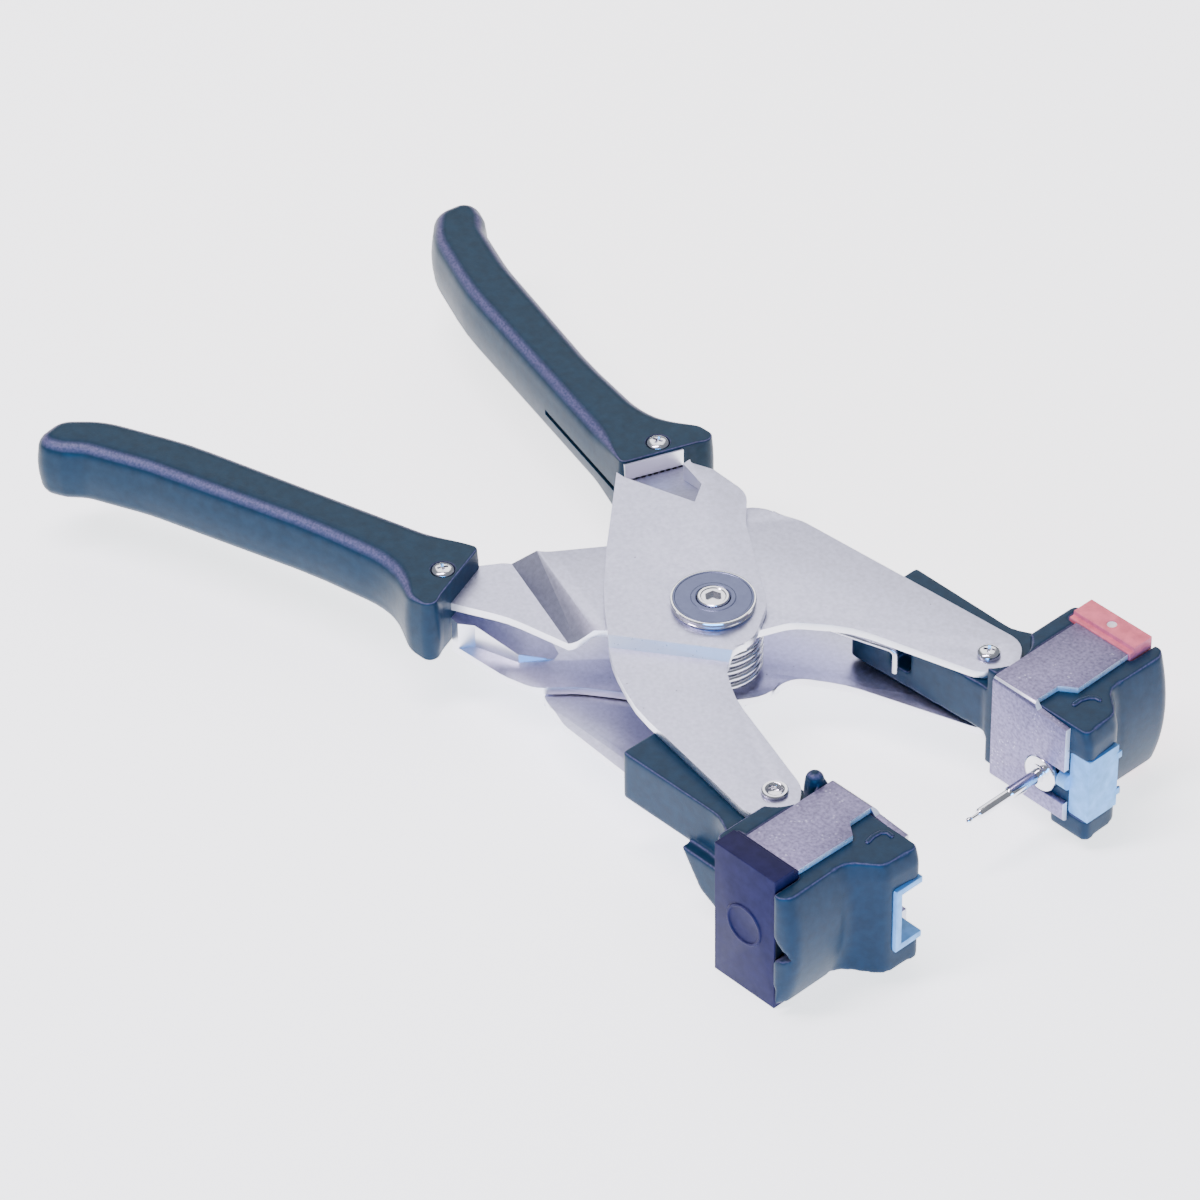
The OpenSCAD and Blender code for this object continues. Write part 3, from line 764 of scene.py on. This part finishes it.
def spring_path():
    """The wire's middle, from one leg's tip round the coil to the other's."""
    wound = 360 * COIL_TURNS + 2 * (180 - COIL_START)
    steps = 36 * COIL_TURNS
    coil = []
    for i in range(steps + 1):
        k = i / steps
        a = radians(-COIL_START - k * wound)
        coil.append(Vector((COIL_R * cos(a), COIL_R * sin(a), SPRING_LOW + k * (SPRING_TOP - SPRING_LOW))))

    def leg(end, side, z, towards):
        """From the coil's end to the tip, which turns towards the other leg's level."""
        tip = Vector((LEG_TIP[0], side * LEG_TIP[1], z))
        corner = tip + (end - tip).normalized() * LEG_BEND
        turned = tip + Vector((0, 0, towards * LEG_BEND))
        out = [end.lerp(corner, k / 8) for k in range(1, 9)]
        for t in (0.2, 0.4, 0.6, 0.8, 1.0):
            out.append(corner * (1 - t) ** 2 + tip * 2 * t * (1 - t) + turned * t * t)
        straight = LEG_DROP - LEG_BEND
        out += [turned + Vector((0, 0, towards * straight * k / 4)) for k in range(1, 5)]
        return out

    return leg(coil[0], -1, SPRING_LOW, 1)[::-1] + coil + leg(coil[-1], 1, SPRING_TOP, -1)


wire = sweep(spring_path(), WIRE_R)
spring = placed("torsion_spring_wire", wire, None, "spring_wire", WIRE, ("torsion_spring",), 60)
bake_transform(spring)


# ---------------------------------------------------------------- heads

NOSE_U, BULGE_V, HEAD_MIDDLE, HEAD_FOOT = 82.0, 41.0, -15.5, -33
TAIL_TOP, TAIL_LOW = -6.9, -20.3
WALL_V, SADDLE_LOW, FLANGE_V = 25.2, -29.6, 27.6
# Room in a tail for the spring's leg and its turned tip: from u, to u, and how deep
LEG_RELIEF = ((17, 37.4, 2.7), (31.6, 37.8, 8.8))
RIDGES = {
    "pin_head": [(83.0, 32.3), (82.9, 34.5), (83.6, 36.5), (84.8, 37.6), (86.0, 37.7)],
    "die_head": [(83.5, -34.3), (83.0, -32.0), (83.2, -29.9), (84.4, -28.8), (85.9, -29.0)],
}


def head_shape(u, v, z):
    """Fuller nose at mid height on the outer half, with its top and foot drawn in."""
    if z <= HEAD_FOOT:
        return u, v, z
    outer = smoothstep(BULGE_V - 2, BULGE_V + 5, abs(v))
    nose = smoothstep(NOSE_U, NOSE_U + 3, u)
    high = (z - HEAD_MIDDLE) / -HEAD_MIDDLE
    bulge = outer * (2.6 * (1 - high * high) - 1.2)
    slope = (1 - outer) * 1.2 * smoothstep(-6, 0, z)
    return u + nose * bulge - nose * slope, v, z


def head_moulding(head, side):
    """Body with a three-sided hollow in its outer side and room for the spring's leg in its tail."""
    def mirrored_block(low, high):
        """A block given for the head at +v."""
        v0, v1 = sorted((side * low[1], side * high[1]))
        return block((low[0], v0, low[2]), (high[0], v1, high[2]))

    hollow = [(80.4, -12.2), (84.8, -18.6), (80.4, -21.8)]
    cutters = [skin([[(u, side * v, z) for u, z in hollow] for v in (57.5, 62.5)])]
    for start, end, deep in LEG_RELIEF:
        low, high = (TAIL_TOP - deep, TAIL_TOP + 1) if side > 0 else (TAIL_LOW - 1, TAIL_LOW + deep)
        cutters.append(mirrored_block((start, 23, low), (end, 31.2, high)))
    bm = moulded(f"{head}_body", head_shape, cutters)
    placed(f"{head}_moulding", bm, head, "head_plastic", HEAD, (f"{head}_body",), 80)
    # A dark plate of painted shade at the back of the side hollow
    shade = mirrored_block((81.32, 57.6, -22.2), (81.4, 60.2, -12))
    placed(f"{head}_side_hollow_shade", shade, head, "head_plastic", PAINTED_SHADE)


def saddle(head):
    """Bent sheet: wide bends where the wall meets its flanges, broken edges elsewhere."""
    def at_bend(edge):
        ends = [(vert.co - PIVOT) / MM for vert in edge.verts]
        outside = all(abs(abs(p.y) - WALL_V) < 0.05 for p in ends)
        return outside and any(all(abs(p.z - level) < 0.05 for p in ends) for level in (0, SADDLE_LOW))

    def cut_edge_highlight(face):
        """The sheet's thickness: on a flange its upright faces, on the wall those square to it."""
        across, flat = abs(face.normal.y), abs(face.normal.z)
        on_flange = abs(face.center.y - PIVOT.y) > FLANGE_V * MM
        thickness = flat < 0.8 if on_flange else across < 0.8 and flat < 0.93
        return thickness and face.area < 60 * MM * MM

    bm = bevelled(flattened(from_cad(f"{head}_saddle")), 2.1, 7, 60, at_bend)
    bevelled(bm, 0.22, 2, 50)
    sheet = placed(f"{head}_saddle_sheet", bm, head, "saddle_steel", SADDLE, (f"{head}_saddle",), 30)
    # The saddle's cut edges take the bright edge colour, partly a painted highlight
    brightened(sheet, cut_edge_highlight)


for head, side in (("pin_head", 1), ("die_head", -1)):
    head_moulding(head, side)
    ridge = sweep([(u, v, -1.75) for u, v in RIDGES[head]], 0.75)
    placed(f"{head}_top_ridge", ridge, head, "head_plastic", HEAD)
    saddle(head)

HORN_FOOT, HORN_R, HORN_DOME = 0.2, 2.15, 2.2
horn = [(-3.5, 2.5), (-1.2, 2.35), (HORN_FOOT, HORN_R)]
for degrees in range(10, 91, 10):
    a = radians(degrees)
    horn.append((HORN_FOOT + HORN_DOME * sin(a), max(0.05, HORN_R * cos(a))))
placed("die_head_horn", lathe((61.8, -28.9, 0), UP, horn, 40), "die_head", "head_plastic", HEAD)

refined("pin_head_cap", "pin_head", "pink_cap", PINK, 0.7, 4)
refined("die_head_cap", "die_head", "navy_cap", NAVY, 0.2, 3)
refined("pin_head_gauge", "pin_head", "gauge_plastic", GAUGE, 0.25, 3)
refined("die_head_gauge", "die_head", "gauge_plastic", GAUGE, 0.2, 2)

dimple = [(-0.5, 1.2), (-0.2, 1.2), (-0.12, 1.1), (-0.28, 0.7), (-0.3, 0.1)]
placed("pin_head_cap_dimple", lathe((71.6, 57, 1.3), UP, dimple, 40), "pin_head", "pink_cap", DIMPLE)

# The turned pin and its flange, and the bush that takes it, given from the middle of the mouth
PIN_CENTRE, PIN_AXIS = (80.0, 0, -19.4), (0, -1, 0)
pin = [
    (-48.0, 2.6), (-47.8, 3.0), (-46.0, 3.0), (-46.0, 1.8), (-24.8, 1.8), (-24.7, 1.6), (-15.1, 1.6),
    (-14.7, 1.25), (-14.6, 1.2), (-5.5, 1.2), (-5.1, 0.95), (-5.0, 0.45), (-2.9, 0.45), (-2.75, 0.55),
    (-2.4, 0.74), (-2.1, 0.75), (-1.75, 0.66), (-1.45, 0.35), (-1.35, 0.05),
]
flange = [
    (-26.7, 4.4), (-26.5, 4.6), (-25.4, 4.6), (-25.15, 4.45), (-25.0, 4.1), (-25.0, 2.6), (-24.8, 2.3),
    (-24.75, 1.9), (-24.75, 1.82), (-26.7, 1.82),
]
bush = [
    (25.4, 4.35), (25.55, 4.6), (26.6, 4.6), (26.75, 3.5), (47.8, 3.5), (48.0, 3.3), (48.0, 1.85),
    (26.2, 1.85), (25.4, 2.5),
]
for node, head, profile, segments, hollow, material in (
    ("setting_pin", "pin_head", pin, 64, False, CHROME),
    ("pin_flange", "pin_head", flange, 96, True, PLATED),
    ("die_bush", "die_head", bush, 96, True, CHROME),
):
    bm = lathe(PIN_CENTRE, PIN_AXIS, profile, segments, hollow)
    placed(node + "_turned", bm, head, "polished_tool", material, (node,))

# CAD nodes that stay as they are
for node, material in (
    ("tang_spacer_a", PLATED), ("tang_spacer_b", PLATED), ("pivot_bush", PLATED),
    ("plate_shims", SHIM), ("pin_holder", CHROME),
):
    kept = nodes[node].data
    kept.materials.clear()
    kept.materials.append(material)


# ---------------------------------------------------------------- stage, light and camera

floor_finish = Finish("floor_paper", (0.94, 0.94, 0.94), 0.8, specular=0.1)
floor_finish.shader.inputs["Emission Color"].default_value = (1, 1, 1, 1)
floor_finish.shader.inputs["Emission Strength"].default_value = 2.1
floor_finish.mottle(6, 0.015)
floor_finish.bump(900, 0.04, 0.05)
floor_mesh = bpy.data.meshes.new("floor")
FLOOR_REACH = 4.0
corners = [(x * FLOOR_REACH, y * FLOOR_REACH, FLOOR_Z) for x, y in ((-1, -1), (1, -1), (1, 1), (-1, 1))]
floor_mesh.from_pydata(corners, [], [(0, 1, 2, 3)])
floor_mesh.materials.append(floor_finish.material)
floor = bpy.data.objects.new("floor", floor_mesh)
scene.collection.objects.link(floor)

world = bpy.data.worlds.new("studio")
scene.world = world
world.use_nodes = True
sky = world.node_tree.nodes["Background"]
sky.inputs["Color"].default_value = (0.86, 0.91, 1.0, 1)
sky.inputs["Strength"].default_value = 0.32


def lamp(name, position, target, size, watts, rgb):
    """Rectangular softbox, in metres."""
    light = bpy.data.lights.new(name, "AREA")
    light.shape = "RECTANGLE"
    light.size, light.size_y = size
    light.energy = watts
    light.color = rgb
    obj = bpy.data.objects.new(name, light)
    scene.collection.objects.link(obj)
    obj.location = position
    obj.rotation_euler = (Vector(target) - Vector(position)).to_track_quat("-Z", "Y").to_euler()


lamp("back_softbox", (-0.62, 0.58, 0.95), (0, 0, 0), (1.1, 1.1), 8.5, (1.0, 0.985, 0.985))
lamp("edge_strip", (-0.15, -0.35, 1.1), (0, 0, 0), (0.2, 0.9), 15, (1.0, 0.88, 1.0))
lamp("low_blue", (0.9, -0.85, 0.2), (0, 0, 0.02), (1.0, 0.35), 17, (0.04, 0.38, 1.0))

# The camera looks along -back at AIM
AIM = at(-26.23, -11.14, -10)
AZIMUTH, ELEVATION, ROLL = radians(-42.953), radians(39.111), radians(-0.808)
DISTANCE, LENS = 1.4372, 185.77
camera = bpy.data.cameras.new("camera")
camera.lens, camera.sensor_width, camera.sensor_fit = LENS, 36.0, "HORIZONTAL"
camera.clip_start, camera.clip_end = 0.05, 20
eye = bpy.data.objects.new("camera", camera)
scene.collection.objects.link(eye)
back = Vector((cos(ELEVATION) * cos(AZIMUTH), cos(ELEVATION) * sin(AZIMUTH), sin(ELEVATION)))
level = Vector(UP).cross(back).normalized()
over = back.cross(level)
right = level * cos(ROLL) + over * sin(ROLL)
upward = back.cross(right)
eye.matrix_world = Matrix((right, upward, back)).transposed().to_4x4()
eye.location = AIM + back * DISTANCE
scene.camera = eye
